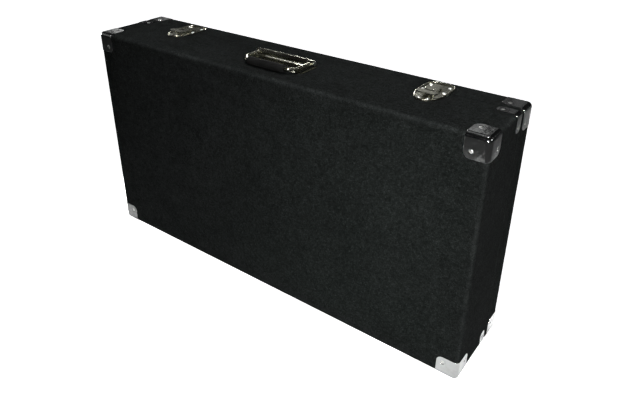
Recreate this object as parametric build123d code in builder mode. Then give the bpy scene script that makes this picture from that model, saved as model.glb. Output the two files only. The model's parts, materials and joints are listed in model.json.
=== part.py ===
from build123d import *
import math
import os

# A carpet-covered case for two players and a mixer, standing on its hinge side.
# Row frame: +Z up, front (outer face of the deep half) towards -Y, origin on the
# floor below the middle of the case. All lengths in millimetres.

# ------------------------------------------------------------------ driving sizes
LENGTH = 960.0          # carpet to carpet, along X
DEPTH = 188.0           # carpet to carpet, along Y
HEIGHT = 508.0          # carpet to carpet, along Z
BASE_DEPTH = 133.0      # deep half, from the front face to the parting plane
CARPET = 3.5            # needle felt
PLY = 9.0               # panels and walls
LID_PLY = 8.6           # lid walls are thinner on the inside, to clear the rim strips
EDGE_R = 8.0            # rounded carpet edges
SPLIT = 0.2             # half of the gap between the two rims
STEEL = 1.2             # pressed corner plates, also how far the case stands off the floor

CORNER = 43.0           # corner plate, edge to edge
CORNER_R = 13.0         # its rounded outer corner
CORNER_SCREW = 30.0     # screw, from both edges

BRACKET_W = 20.0        # rim bracket, along Y
BRACKET_TOP = 40.0      # its long leg
BRACKET_SIDE = 36.0     # its short leg

HINGE_L = 850.0         # continuous hinge
HINGE_N = 17            # knuckles
HINGE_R = 3.2           # knuckle radius
HINGE_PIN_R = 1.5
HINGE_T = 1.0           # leaf
HINGE_W = 28.0          # leaf, from the pin's axis
HINGE_Z = 3.4           # height of the pin's axis

STAY_R = 170.0          # side of the stay's rhombus
STAY_PHI = 8.0          # half of its angle with the lid shut, in degrees
STAY_W = 14.0
STAY_T = 2.0

HANDLE_Y = 3.0          # bail's pivot axis
HANDLE_H = 9.8          # its height over the carpet
BAIL_Y = -57.0          # grip's axis with the bail down
BAIL_X = 66.0           # middle of each arm
BAIL_NECK = 52.0        # the arms draw in to this at the grip
BAIL_ROD = 3.5
GRIP_R = 8.0
GRIP_L = 92.0

LATCH_X = 320.0         # latch centre, from the middle of the case
LATCH_W = 58.0
LATCH_Y0 = -22.0        # front end of its base plate
LATCH_Y1 = 76.0         # rear end of its keeper
LATCH_MID = 27.0        # the base plate is oval in front of this, straight behind it
SPINDLE_Y = 14.0
WING_H = 9.0            # fold axis of the wing over the carpet
HOOK_TILT = 15.0        # the hook lifts at this angle while it moves back

# ------------------------------------------------------------------ derived planes
X1 = LENGTH / 2
YF, YB = -DEPTH / 2, DEPTH / 2
YP = YF + BASE_DEPTH            # parting plane
Z0 = STEEL                      # carpet underside
ZT = Z0 + HEIGHT                # carpet top
WX = X1 - CARPET                # wood, outside
WF, WB = YF + CARPET, YB - CARPET
W0, WT = Z0 + CARPET, ZT - CARPET
IX = WX - PLY                   # base half, inside
I0, IT = W0 + PLY, WT - PLY
LIX = WX - LID_PLY              # lid half, inside
LI0, LIT = W0 + LID_PLY, WT - LID_PLY

os.makedirs("parts", exist_ok=True)


def save(builder, name):
    builder.part.label = name
    export_step(builder.part, f"parts/{name}.step")


def at(x, y, z, out):
    """Location at a point, with its local +Z along the outward direction."""
    return Plane(origin=(x, y, z), z_dir=out).location


# ------------------------------------------------------------------ screws and their holes
# Oval head sunk in a dimple: the dome's top is level with the plate, so the case can
# stand on its plates. Local origin on the plate's outer face, +Z outwards.
with BuildPart() as oval_screw:
    with BuildSketch(Plane.XZ):
        with BuildLine():
            Polyline((0, 0), (0, -12.0), (1.1, -11.0), (1.7, -9.8), (1.7, -2.7), (3.6, -0.8))
            ThreePointArc((3.6, -0.8), (1.85, -0.2), (0, 0))
        make_face()
    revolve(axis=Axis.Z)
    with BuildSketch(Plane.XY.offset(0.5)):
        Rectangle(3.8, 0.8)
        Rectangle(0.8, 3.8)
    extrude(amount=-1.4, mode=Mode.SUBTRACT)

with BuildPart() as oval_hole:
    with BuildSketch(Plane.XZ):
        with BuildLine():
            Polyline((0, 1.0), (0, -12.2), (1.78, -12.2), (1.78, -2.65), (4.5, 0.0), (4.5, 1.0), (0, 1.0))
        make_face()
    revolve(axis=Axis.Z)

# Pan head standing on its plate.
with BuildPart() as pan_screw:
    with BuildSketch(Plane.XZ):
        with BuildLine():
            Polyline((0, 1.9), (0, -12.0), (1.1, -11.0), (1.7, -9.8), (1.7, 0.0), (3.6, 0.0), (3.6, 0.7))
            ThreePointArc((3.6, 0.7), (2.1, 1.6), (0, 1.9))
        make_face()
    revolve(axis=Axis.Z)
    with BuildSketch(Plane.XY.offset(2.4)):
        Rectangle(3.8, 0.8)
        Rectangle(0.8, 3.8)
    extrude(amount=-1.5, mode=Mode.SUBTRACT)

with BuildPart() as pan_hole:
    with Locations((0, 0, 0.5)):
        Cylinder(1.78, 12.7, align=(Align.CENTER, Align.CENTER, Align.MAX))

# Small countersunk screw for the hinge, level with the leaf.
with BuildPart() as flat_screw:
    with BuildSketch(Plane.XZ):
        with BuildLine():
            Polyline((0, 0), (0, -9.5), (0.8, -8.6), (1.3, -7.6), (1.3, -1.7), (3.0, 0.0), (0, 0))
        make_face()
    revolve(axis=Axis.Z)
    with BuildSketch(Plane.XY.offset(0.5)):
        Rectangle(3.0, 0.6)
        Rectangle(0.6, 3.0)
    extrude(amount=-1.2, mode=Mode.SUBTRACT)

with BuildPart() as flat_hole:
    with BuildSketch(Plane.XZ):
        with BuildLine():
            Polyline((0, 1.0), (0, -9.8), (1.38, -9.8), (1.38, -1.68), (3.08, 0.02), (3.08, 1.0), (0, 1.0))
        make_face()
    revolve(axis=Axis.Z)

# ------------------------------------------------------------------ where the screws go
base_corner_locs, lid_corner_locs = [], []
for sx in (-1, 1):
    for z_face, up in ((Z0, 1), (ZT, -1)):
        for y_face, inward, locs in ((YF, 1, base_corner_locs), (YB, -1, lid_corner_locs)):
            cx, cy, cz = sx * (X1 - CORNER_SCREW), y_face + inward * CORNER_SCREW, z_face + up * CORNER_SCREW
            locs.append(at(cx, cy, z_face - up * STEEL, (0, 0, -up)))
            locs.append(at(cx, y_face - inward * STEEL, cz, (0, -inward, 0)))
            locs.append(at(sx * (X1 + STEEL), cy, cz, (sx, 0, 0)))

TOP_BRACKET_Y = YP - 1.0 - BRACKET_W / 2
LOW_BRACKET_Y = YP - 6.0 - BRACKET_W / 2    # set forward to clear the hinge rebate
bracket_locs = []
for sx in (-1, 1):
    bracket_locs.append(at(sx * (X1 - 29), TOP_BRACKET_Y, ZT + STEEL, (0, 0, 1)))
    bracket_locs.append(at(sx * (X1 + STEEL), TOP_BRACKET_Y, ZT - 26, (sx, 0, 0)))
    bracket_locs.append(at(sx * (X1 - 29), LOW_BRACKET_Y, Z0 - STEEL, (0, 0, -1)))
    bracket_locs.append(at(sx * (X1 + STEEL), LOW_BRACKET_Y, Z0 + 26, (sx, 0, 0)))

HANDLE_PLATE_T = 1.5
handle_locs = [at(x, y, ZT + HANDLE_PLATE_T, (0, 0, 1)) for x, y in ((-48, -36), (48, -36), (-48, 11.5), (48, 11.5))]
LATCH_SCREWS = [(-8.5, -10.0), (8.5, -10.0), (-21.0, 31.0), (21.0, 31.0)]
KEEPER_SCREWS = [(-19.0, 60.0), (19.0, 60.0)]
latch_locs, keeper_locs = [], []
for lx in (-LATCH_X, LATCH_X):
    latch_locs += [at(lx + x, y, ZT + STEEL, (0, 0, 1)) for x, y in LATCH_SCREWS]
    keeper_locs += [at(lx + x, y, ZT + STEEL, (0, 0, 1)) for x, y in KEEPER_SCREWS]

hinge_x = [-382.5 + 85.0 * i for i in range(10)]
hinge_base_locs = [at(x, YP - 16.5, HINGE_Z - HINGE_R, (0, 0, -1)) for x in hinge_x]
hinge_lid_locs = [at(x, YP + 16.5, HINGE_Z - HINGE_R, (0, 0, -1)) for x in hinge_x]

BASE_OVAL = base_corner_locs + bracket_locs
BASE_PAN = handle_locs + latch_locs


def near(locs, low, high, margin=14.0):
    """The locations that lie inside a box, grown by a margin."""
    got = []
    for loc in locs:
        p = loc.position
        if all(l - margin <= c <= h + margin for l, c, h in zip(low, (p.X, p.Y, p.Z), high)):
            got.append(loc)
    return got


def drill(builder, sets):
    """Takes the screw holes that meet this piece out of it."""
    box = builder.part.bounding_box()
    low, high = tuple(box.min), tuple(box.max)
    for hole, locs in sets:
        here = near(locs, low, high)
        if here:
            with Locations(*here):
                add(hole.part, mode=Mode.SUBTRACT)


BASE_HOLES = [(oval_hole, BASE_OVAL), (pan_hole, BASE_PAN), (flat_hole, hinge_base_locs)]
LID_HOLES = [(oval_hole, lid_corner_locs), (pan_hole, keeper_locs), (flat_hole, hinge_lid_locs)]

# ------------------------------------------------------------------ envelopes
with BuildPart() as base_outside:
    with Locations((0, (YF + YP - SPLIT) / 2, (Z0 + ZT) / 2)):
        Box(LENGTH, YP - SPLIT - YF, HEIGHT)
    fillet(base_outside.edges().filter_by_position(Axis.Y, YF - 1, YP - 1), EDGE_R)

with BuildPart() as base_wood:
    with Locations((0, (WF + YP - SPLIT) / 2, (W0 + WT) / 2)):
        Box(2 * WX, YP - SPLIT - WF, WT - W0)
    fillet(base_wood.edges().filter_by_position(Axis.Y, WF - 1, YP - 1), EDGE_R - CARPET)

with BuildPart() as lid_outside:
    with Locations((0, (YB + YP + SPLIT) / 2, (Z0 + ZT) / 2)):
        Box(LENGTH, YB - YP - SPLIT, HEIGHT)
    fillet(lid_outside.edges().filter_by_position(Axis.Y, YP + 1, YB + 1), EDGE_R)

with BuildPart() as lid_wood:
    with Locations((0, (WB + YP + SPLIT) / 2, (W0 + WT) / 2)):
        Box(2 * WX, WB - YP - SPLIT, WT - W0)
    fillet(lid_wood.edges().filter_by_position(Axis.Y, YP + 1, WB + 1), EDGE_R - CARPET)

# Rebate along the bottom of both rims, which lets the hinge lie inside the case's outline.
with BuildPart() as hinge_rebate:
    with Locations((0, YP, 0)):
        Box(LENGTH + 20, 9.0, 7.6, align=(Align.CENTER, Align.CENTER, Align.MIN))

# ------------------------------------------------------------------ carpet
with BuildPart() as base_carpet:
    add(base_outside.part)
    add(base_wood.part, mode=Mode.SUBTRACT)
    add(hinge_rebate.part, mode=Mode.SUBTRACT)
    drill(base_carpet, BASE_HOLES)
save(base_carpet, "base_carpet")

with BuildPart() as lid_carpet:
    add(lid_outside.part)
    add(lid_wood.part, mode=Mode.SUBTRACT)
    add(hinge_rebate.part, mode=Mode.SUBTRACT)
    drill(lid_carpet, LID_HOLES)
save(lid_carpet, "lid_carpet")


# ------------------------------------------------------------------ plywood
def board(low, high, envelope, holes):
    """A board between two corners, trimmed to the rounded outline and drilled."""
    with BuildPart() as piece:
        with Locations(tuple((a + b) / 2 for a, b in zip(low, high))):
            Box(*[b - a for a, b in zip(low, high)])
        add(envelope.part, mode=Mode.INTERSECT)
        add(hinge_rebate.part, mode=Mode.SUBTRACT)
        drill(piece, holes)
    return piece


rim_f, rim_b = YP - SPLIT, YP + SPLIT
save(board((-WX, WF, W0), (WX, WF + PLY, WT), base_wood, BASE_HOLES), "base_panel")
save(board((-WX, WF + PLY, IT), (WX, rim_f, WT), base_wood, BASE_HOLES), "base_top_wall")
save(board((-WX, WF + PLY, W0), (WX, rim_f, I0), base_wood, BASE_HOLES), "base_bottom_wall")
save(board((-WX, WF + PLY, I0), (-IX, rim_f, IT), base_wood, BASE_HOLES), "base_left_wall")
save(board((IX, WF + PLY, I0), (WX, rim_f, IT), base_wood, BASE_HOLES), "base_right_wall")

save(board((-WX, WB - PLY, W0), (WX, WB, WT), lid_wood, LID_HOLES), "lid_panel")
save(board((-WX, rim_b, LIT), (WX, WB - PLY, WT), lid_wood, LID_HOLES), "lid_top_wall")
save(board((-WX, rim_b, W0), (WX, WB - PLY, LI0), lid_wood, LID_HOLES), "lid_bottom_wall")
save(board((-WX, rim_b, LI0), (-LIX, WB - PLY, LIT), lid_wood, LID_HOLES), "lid_left_wall")
save(board((LIX, rim_b, LI0), (WX, WB - PLY, LIT), lid_wood, LID_HOLES), "lid_right_wall")

# ------------------------------------------------------------------ inside of the base
DIVIDER_X = 136.5
DIVIDER_TOP = YP - 34.0
FOAM_Y = WF + PLY + 10.0        # top of the floor foam
with BuildPart() as divider_right:
    with Locations((DIVIDER_X, (WF + PLY + DIVIDER_TOP) / 2, (I0 + IT) / 2)):
        Box(PLY, DIVIDER_TOP - WF - PLY, IT - I0)
    # cable slot near the case's standing top, where the players' sockets come
    with BuildSketch(Plane.YZ.offset(DIVIDER_X - PLY)):
        with Locations((-30.0, 405.0)):
            SlotOverall(90.0, 34.0, rotation=90)
    extrude(amount=2 * PLY, mode=Mode.SUBTRACT)
    fillet(divider_right.edges().filter_by(Axis.Z).group_by(Axis.Y)[-1], 2.5)
save(divider_right, "divider_right")
with BuildPart() as divider_left:
    add(divider_right.part.mirror(Plane.YZ))
save(divider_left, "divider_left")

with BuildPart() as base_floor_foam:
    for x_low, x_high in ((-IX, -DIVIDER_X - PLY / 2), (-DIVIDER_X + PLY / 2, DIVIDER_X - PLY / 2), (DIVIDER_X + PLY / 2, IX)):
        with Locations(((x_low + x_high) / 2, FOAM_Y - 5.0, (I0 + IT) / 2)):
            Box(x_high - x_low, 10.0, IT - I0)
save(base_floor_foam, "base_floor_foam")

with BuildPart() as lid_foam:
    with Locations((0, WB - PLY - 5.0, (LI0 + LIT) / 2)):
        Box(910.0, 10.0, 460.0)
save(lid_foam, "lid_foam")

# Strips inside the base's rim, which stand 8 mm into the lid and line the halves up.
STRIP = 2.5
with BuildPart() as rim_strips:
    with Locations((0, YP - 2.0, IT - STRIP / 2)):
        Box(2 * IX, 20.0, STRIP)
    for sx in (-1, 1):
        with Locations((sx * (IX - STRIP / 2), YP - 2.0, (24.0 + IT - STRIP - 0.3) / 2)):
            Box(STRIP, 20.0, IT - STRIP - 0.3 - 24.0)
save(rim_strips, "rim_strips")

# ------------------------------------------------------------------ corner protectors
# Made in the octant where the case's corner is the origin and the case lies at +X +Y +Z.
with BuildPart() as corner_inside:
    Box(60, 60, 60, align=(Align.MIN, Align.MIN, Align.MIN))
    fillet(
        [e for e in corner_inside.edges() if sum(abs(c) < 0.01 for c in tuple(e.center())) == 2],
        EDGE_R,
    )

RIM_BREAK = 0.45        # the pressed plates' outer rims are slightly rounded


def on_skin(edge, axes):
    """Whether an edge lies on the rounded outer skin of a pressed piece, seen along the given axes."""
    for t in (0, 0.25, 0.5, 0.75, 1):
        p = edge.position_at(t)
        gap = [min(getattr(p, a) - EDGE_R, 0.0) for a in axes]
        if abs(sum(g * g for g in gap) ** 0.5 - EDGE_R - STEEL) > 0.02:
            return False
    return True


with BuildPart() as corner:
    with Locations((-STEEL, -STEEL, -STEEL)):
        Box(CORNER + STEEL, CORNER + STEEL, CORNER + STEEL, align=(Align.MIN, Align.MIN, Align.MIN))
    fillet(
        [e for e in corner.edges() if sum(abs(c + STEEL) < 0.01 for c in tuple(e.center())) == 2],
        EDGE_R + STEEL,
    )
    add(corner_inside.part, mode=Mode.SUBTRACT)
    fillet(
        [
            e
            for e in corner.edges()
            if e.length < STEEL + 0.01 and sum(abs(c - CORNER) < 0.01 for c in tuple(e.center())) == 2
        ],
        CORNER_R,
    )
    fillet([e for e in corner.edges() if max(tuple(e.center())) > 39 and on_skin(e, "XYZ")], RIM_BREAK)
    with Locations(
        at(CORNER_SCREW, CORNER_SCREW, -STEEL, (0, 0, -1)),
        at(CORNER_SCREW, -STEEL, CORNER_SCREW, (0, -1, 0)),
        at(-STEEL, CORNER_SCREW, CORNER_SCREW, (-1, 0, 0)),
    ):
        add(oval_hole.part, mode=Mode.SUBTRACT)


def place_octant(piece, sx, sy, sz, x, y, z):
    """The octant's piece mirrored towards the case and moved to the case's corner."""
    with BuildPart() as placed:
        shape = piece.part
        if sx > 0:
            shape = shape.mirror(Plane.YZ)
        if sy > 0:
            shape = shape.mirror(Plane.XZ)
        if sz > 0:
            shape = shape.mirror(Plane.XY)
        add(shape.moved(Location((x, y, z))))
    return placed


for side, sx in (("left", -1), ("right", 1)):
    for level, sz, z in (("bottom", -1, Z0), ("top", 1, ZT)):
        save(place_octant(corner, sx, -1, sz, sx * X1, YF, z), f"base_corner_{level}_{side}")
        save(place_octant(corner, sx, 1, sz, sx * X1, YB, z), f"lid_corner_{level}_{side}")

# ------------------------------------------------------------------ rim brackets
with BuildPart() as bracket_inside:
    Box(60, 60, 60, align=(Align.MIN, Align.CENTER, Align.MIN))
    fillet(
        [e for e in bracket_inside.edges().filter_by(Axis.Y) if abs(e.center().X) < 0.01 and abs(e.center().Z) < 0.01],
        EDGE_R,
    )

with BuildPart() as bracket:
    with Locations((-STEEL, 0, -STEEL)):
        Box(BRACKET_TOP + STEEL, BRACKET_W, BRACKET_SIDE + STEEL, align=(Align.MIN, Align.CENTER, Align.MIN))
    fillet(
        [e for e in bracket.edges().filter_by(Axis.Y) if abs(e.center().X + STEEL) < 0.01 and abs(e.center().Z + STEEL) < 0.01],
        EDGE_R + STEEL,
    )
    add(bracket_inside.part, mode=Mode.SUBTRACT)
    fillet(
        [
            e
            for e in bracket.edges()
            if e.length < STEEL + 0.01
            and (abs(e.center().X - BRACKET_TOP) < 0.01 or abs(e.center().Z - BRACKET_SIDE) < 0.01)
        ],
        BRACKET_W / 2 - 0.4,
    )
    fillet(
        [
            e
            for e in bracket.edges()
            if (abs(e.center().Y) > BRACKET_W / 2 - 0.1 or max(e.center().X, e.center().Z) > 30) and on_skin(e, "XZ")
        ],
        RIM_BREAK,
    )
    with Locations(at(29, 0, -STEEL, (0, 0, -1)), at(-STEEL, 0, 26, (-1, 0, 0))):
        add(oval_hole.part, mode=Mode.SUBTRACT)

for side, sx in (("left", -1), ("right", 1)):
    save(place_octant(bracket, sx, -1, 1, sx * X1, TOP_BRACKET_Y, ZT), f"rim_bracket_top_{side}")
    save(place_octant(bracket, sx, -1, -1, sx * X1, LOW_BRACKET_Y, Z0), f"rim_bracket_bottom_{side}")

with BuildPart() as base_corner_screws:
    with Locations(*BASE_OVAL):
        add(oval_screw.part)
save(base_corner_screws, "base_corner_screws")

with BuildPart() as lid_corner_screws:
    with Locations(*lid_corner_locs):
        add(oval_screw.part)
save(lid_corner_screws, "lid_corner_screws")

with BuildPart() as base_top_screws:
    with Locations(*BASE_PAN):
        add(pan_screw.part)
save(base_top_screws, "base_top_screws")

with BuildPart() as keeper_screws:
    with Locations(*keeper_locs):
        add(pan_screw.part)
save(keeper_screws, "keeper_screws")

# ------------------------------------------------------------------ continuous hinge
pitch = HINGE_L / HINGE_N
knuckle_x = [-HINGE_L / 2 + pitch * (i + 0.5) for i in range(HINGE_N)]


def hinge_leaf(side, own, bore, locs):
    """One leaf: side -1 is the base's, 1 the lid's."""
    with BuildPart() as leaf:
        # the plate, set back from the pin to clear the other leaf's knuckles
        y_near, y_far = YP + side * 5.0, YP + side * HINGE_W
        with Locations((0, (y_near + y_far) / 2, HINGE_Z - HINGE_R + HINGE_T / 2)):
            Box(HINGE_L, abs(y_far - y_near), HINGE_T)
        for x in own:
            with Locations((x, YP + side * 2.55, HINGE_Z - HINGE_R + HINGE_T / 2)):
                Box(pitch - 0.4, 5.1, HINGE_T)
        with Locations(*[Location((x, YP, HINGE_Z), (0, 90, 0)) for x in own]):
            Cylinder(HINGE_R, pitch - 0.4)
        with Locations(*[Location((x, YP, HINGE_Z), (0, 90, 0)) for x in own]):
            Cylinder(bore, pitch + 0.4, mode=Mode.SUBTRACT)
        with Locations(*locs):
            add(flat_hole.part, mode=Mode.SUBTRACT)
    return leaf


save(hinge_leaf(-1, knuckle_x[0::2], HINGE_PIN_R, hinge_base_locs), "hinge_base_leaf")
save(hinge_leaf(1, knuckle_x[1::2], HINGE_PIN_R + 0.05, hinge_lid_locs), "hinge_lid_leaf")

with BuildPart() as hinge_pin:
    with Locations(Location((0, YP, HINGE_Z), (0, 90, 0))):
        Cylinder(HINGE_PIN_R, HINGE_L - 0.4)
save(hinge_pin, "hinge_pin")

with BuildPart() as hinge_base_screws:
    with Locations(*hinge_base_locs):
        add(flat_screw.part)
save(hinge_base_screws, "hinge_base_screws")

with BuildPart() as hinge_lid_screws:
    with Locations(*hinge_lid_locs):
        add(flat_screw.part)
save(hinge_lid_screws, "hinge_lid_screws")

# ------------------------------------------------------------------ folding lid stays
# Hinge pin, both wall pivots and the knee make a rhombus, so the lower arm turns as far
# as the lid does and the upper arm keeps its direction.
phi = math.radians(STAY_PHI)
A = (YP - STAY_R * math.sin(phi), HINGE_Z + STAY_R * math.cos(phi))
B = (YP + STAY_R * math.sin(phi), A[1])
K = (YP, HINGE_Z + 2 * STAY_R * math.cos(phi))
LOW_X, UP_X = 460.6, 457.6      # inner face of each arm


def along(p, q):
    return math.degrees(math.atan2(q[1] - p[1], q[0] - p[0]))


with BuildPart() as lower_arm:
    with BuildSketch(Plane.YZ.offset(LOW_X)):
        with Locations(((A[0] + K[0]) / 2, (A[1] + K[1]) / 2)):
            SlotCenterToCenter(STAY_R, STAY_W, rotation=along(A, K))
        with Locations(A):
            Circle(2.55, mode=Mode.SUBTRACT)
    extrude(amount=STAY_T)
    # knee rivet, fast in this arm
    with BuildSketch(Plane.YZ.offset(UP_X - 0.7)):
        with Locations(K):
            Circle(2.5)
    extrude(amount=LOW_X - UP_X + 0.7 + STAY_T)
    with BuildSketch(Plane.YZ.offset(UP_X - 1.9)):
        with Locations(K):
            Circle(4.5)
    extrude(amount=1.2)

with BuildPart() as upper_arm:
    with BuildSketch(Plane.YZ.offset(UP_X)):
        with Locations(((B[0] + K[0]) / 2, (B[1] + K[1]) / 2)):
            SlotCenterToCenter(STAY_R, STAY_W, rotation=along(B, K))
        with Locations(B):
            Circle(2.55, mode=Mode.SUBTRACT)
        with Locations(K):
            Circle(3.0, mode=Mode.SUBTRACT)
    extrude(amount=STAY_T)


def stay_rivet(centre, wall_x, arm_x):
    """Shoulder on the wall, neck through the arm, head inside it."""
    with BuildPart() as rivet:
        with BuildSketch(Plane.YZ.offset(arm_x + STAY_T + 0.3)):
            with Locations(centre):
                Circle(4.0)
        extrude(amount=wall_x - arm_x - STAY_T - 0.3)
        with BuildSketch(Plane.YZ.offset(arm_x - 0.3)):
            with Locations(centre):
                Circle(2.5)
        extrude(amount=STAY_T + 0.6)
        with BuildSketch(Plane.YZ.offset(arm_x - 1.3)):
            with Locations(centre):
                Circle(4.5)
        extrude(amount=1.0)
    return rivet


base_rivet = stay_rivet(A, IX, LOW_X)
lid_rivet = stay_rivet(B, LIX, UP_X)
for name, piece in (
    ("stay_right_lower", lower_arm),
    ("stay_right_upper", upper_arm),
):
    save(piece, name)
    with BuildPart() as mirrored:
        add(piece.part.mirror(Plane.YZ))
    save(mirrored, name.replace("right", "left"))
for name, piece in (("stay_base_rivets", base_rivet), ("stay_lid_rivets", lid_rivet)):
    with BuildPart() as pair:
        add(piece.part)
        add(piece.part.mirror(Plane.YZ))
    save(pair, name)

# ------------------------------------------------------------------ handle
ZH = ZT + HANDLE_H
with BuildPart() as handle_plate:
    with BuildSketch(Plane.XY.offset(ZT)):
        with Locations((0, -14.0)):
            RectangleRounded(150.0, 60.0, 10.0)
    extrude(amount=HANDLE_PLATE_T)
    # two flanges on each side, with the bail's arm between them
    for x_low in (-73.5, -61.0, 59.0, 71.5):
        with BuildSketch(Plane.YZ.offset(x_low)):
            with BuildLine():
                Polyline((-42.0, ZT + 1.0), (-42.0, ZT + 5.5), (-38.0, ZT + 8.5), (-5.0, ZT + 9.0), (HANDLE_Y - 5.5, ZH))
                RadiusArc((HANDLE_Y - 5.5, ZH), (HANDLE_Y + 5.5, ZH), 5.5)
                Polyline((HANDLE_Y + 5.5, ZH), (12.0, ZT + 1.0), (-42.0, ZT + 1.0))
            make_face()
        extrude(amount=2.0)
    # pressed ribs that stiffen the plate behind the grip
    with BuildSketch(Plane.XY.offset(ZT + HANDLE_PLATE_T)):
        with Locations((0, -17.0), (0, -25.0), (0, -33.0)):
            SlotOverall(78.0, 3.0)
    extrude(amount=0.6)
    with Locations(Location((0, HANDLE_Y, ZH), (0, 90, 0))):
        Cylinder(2.5, 160.0, mode=Mode.SUBTRACT)
    with Locations(*handle_locs):
        add(pan_hole.part, mode=Mode.SUBTRACT)
save(handle_plate, "handle_plate")

with BuildPart() as handle_pin:
    with Locations(Location((0, HANDLE_Y, ZH), (0, 90, 0))):
        Cylinder(2.5, 147.4)
    for sx in (-1, 1):
        with Locations(Location((sx * 74.3, HANDLE_Y, ZH), (0, 90, 0))):
            Cylinder(4.0, 1.6)
save(handle_pin, "handle_pin")

with BuildPart() as handle_barrel:
    with Locations(Location((0, HANDLE_Y, ZH), (0, 90, 0))):
        Cylinder(6.5, 117.8)
        Cylinder(5.7, 120.0, mode=Mode.SUBTRACT)
save(handle_barrel, "handle_barrel")

# the two coil springs in the barrel, which press the bail down
with BuildPart() as coil:
    with BuildLine(Plane.XY):
        Helix(pitch=2.4, height=33.6, radius=4.3)
    with BuildSketch(Plane(origin=(4.3, 0, 0), z_dir=(0, 1, 2.4 / (2 * math.pi * 4.3)))):
        Circle(0.8)
    sweep(is_frenet=True)

with BuildPart() as handle_springs:
    for x_low in (-56.0, 22.4):
        with Locations(Location((x_low, HANDLE_Y, ZH), (0, 90, 0))):
            add(coil.part)
save(handle_springs, "handle_springs")

with BuildPart() as handle_bail:
    with BuildLine() as bail_path:
        FilletPolyline(
            (-BAIL_X, HANDLE_Y - 4.0, ZH),
            (-BAIL_X, -40.0, ZH),
            (-BAIL_NECK - 1.0, BAIL_Y, ZH),
            (BAIL_NECK + 1.0, BAIL_Y, ZH),
            (BAIL_X, -40.0, ZH),
            (BAIL_X, HANDLE_Y - 4.0, ZH),
            radius=8.0,
        )
    with BuildSketch(Plane(origin=(-BAIL_X, HANDLE_Y - 4.0, ZH), z_dir=(0, -1, 0))):
        Circle(BAIL_ROD)
    sweep()
    for sx in (-1, 1):
        with Locations(Location((sx * BAIL_X, HANDLE_Y, ZH), (0, 90, 0))):
            Cylinder(5.5, 8.6)
    with Locations(Location((0, HANDLE_Y, ZH), (0, 90, 0))):
        Cylinder(2.56, 150.0, mode=Mode.SUBTRACT)
save(handle_bail, "handle_bail")

with BuildPart() as handle_grip:
    with Locations(Location((0, BAIL_Y, ZH), (0, 90, 0))):
        Cylinder(GRIP_R, GRIP_L)
    fillet(handle_grip.edges().filter_by(GeomType.CIRCLE), 2.0)
    with Locations(Location((0, BAIL_Y, ZH), (0, 90, 0))):
        Cylinder(BAIL_ROD, GRIP_L + 4.0, mode=Mode.SUBTRACT)
save(handle_grip, "handle_grip")

# ------------------------------------------------------------------ twist latches
BEAD_W, BEAD_H = 3.0, 3.4


def tray_outline(half_width, end_y, open_y, z, front):
    """The base plate ends in a half ellipse, the keeper in a rounded square end."""
    with BuildSketch(Plane.XY.offset(z)) as outline:
        if front:
            with BuildLine():
                EllipticalCenterArc((0, LATCH_MID), half_width, LATCH_MID - end_y, start_angle=180, arc_size=180)
                Polyline((half_width, LATCH_MID), (half_width, open_y), (-half_width, open_y), (-half_width, LATCH_MID))
            make_face()
        else:
            with Locations((0, (open_y + end_y) / 2)):
                Rectangle(2 * half_width, end_y - open_y)
            fillet(outline.vertices().group_by(Axis.Y)[-1], half_width - 10.0)
    return outline.sketch


def tray(y_low, y_high, front):
    """Pressed plate with a raised rim on three sides, open at the parting plane."""
    with BuildPart() as plate:
        end_y, open_y = (y_low, y_high) if front else (y_high, y_low)
        inward = 1 if front else -1
        add(tray_outline(LATCH_W / 2, end_y, open_y, ZT, front))
        extrude(amount=BEAD_H)
        # the tray inside the rim runs out through the open side
        add(tray_outline(LATCH_W / 2 - BEAD_W, end_y + inward * BEAD_W, open_y + inward, ZT + STEEL, front))
        extrude(amount=BEAD_H, mode=Mode.SUBTRACT)
        top_edges = [
            e
            for e in plate.edges().group_by(Axis.Z)[-1]
            if e.length > BEAD_W + 0.5
        ]
        fillet(top_edges, 1.1)
    return plate


with BuildPart() as latch_plate:
    add(tray(LATCH_Y0, YP - 0.4, True).part)
    # side guides of the hook
    with BuildSketch(Plane.XY.offset(ZT + 1.0)):
        with Locations((-9.3, 31.0), (9.3, 31.0)):
            Rectangle(1.6, 9.0)
    extrude(amount=3.2)
    with Locations((0, SPINDLE_Y, ZT)):
        Cylinder(3.05, 10.0, mode=Mode.SUBTRACT)
    with Locations(*[at(x, y, ZT + STEEL, (0, 0, 1)) for x, y in LATCH_SCREWS]):
        add(pan_hole.part, mode=Mode.SUBTRACT)

with BuildPart() as keeper:
    add(tray(YP + 0.4, LATCH_Y1, False).part)
    # lip that the hook's end drops behind
    with BuildSketch(Plane.XY.offset(ZT + 1.0)):
        with Locations((0, 44.8)):
            Rectangle(20.0, 1.6)
    extrude(amount=1.6)
    with Locations(*[at(x, y, ZT + STEEL, (0, 0, 1)) for x, y in KEEPER_SCREWS]):
        add(pan_hole.part, mode=Mode.SUBTRACT)

with BuildPart() as spindle:
    with BuildSketch(Plane.XY.offset(ZT + 0.1)):
        with Locations((0, SPINDLE_Y)):
            Circle(3.0)
    extrude(amount=1.4)
    with BuildSketch(Plane.XY.offset(ZT + 1.4)):
        with Locations((0, SPINDLE_Y)):
            Circle(12.0)
    extrude(amount=1.4)
    with BuildSketch(Plane.XY.offset(ZT + 2.8)):
        with Locations((0, SPINDLE_Y)):
            Circle(4.5)
    extrude(amount=3.6)
    with BuildSketch(Plane.XY.offset(ZT + 6.4)):
        with Locations((0, SPINDLE_Y)):
            RectangleRounded(11.2, 6.0, 1.5)
    extrude(amount=4.6)
    with Locations(Location((0, SPINDLE_Y, ZT + WING_H), (0, 90, 0))):
        Cylinder(1.25, 19.4)

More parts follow.
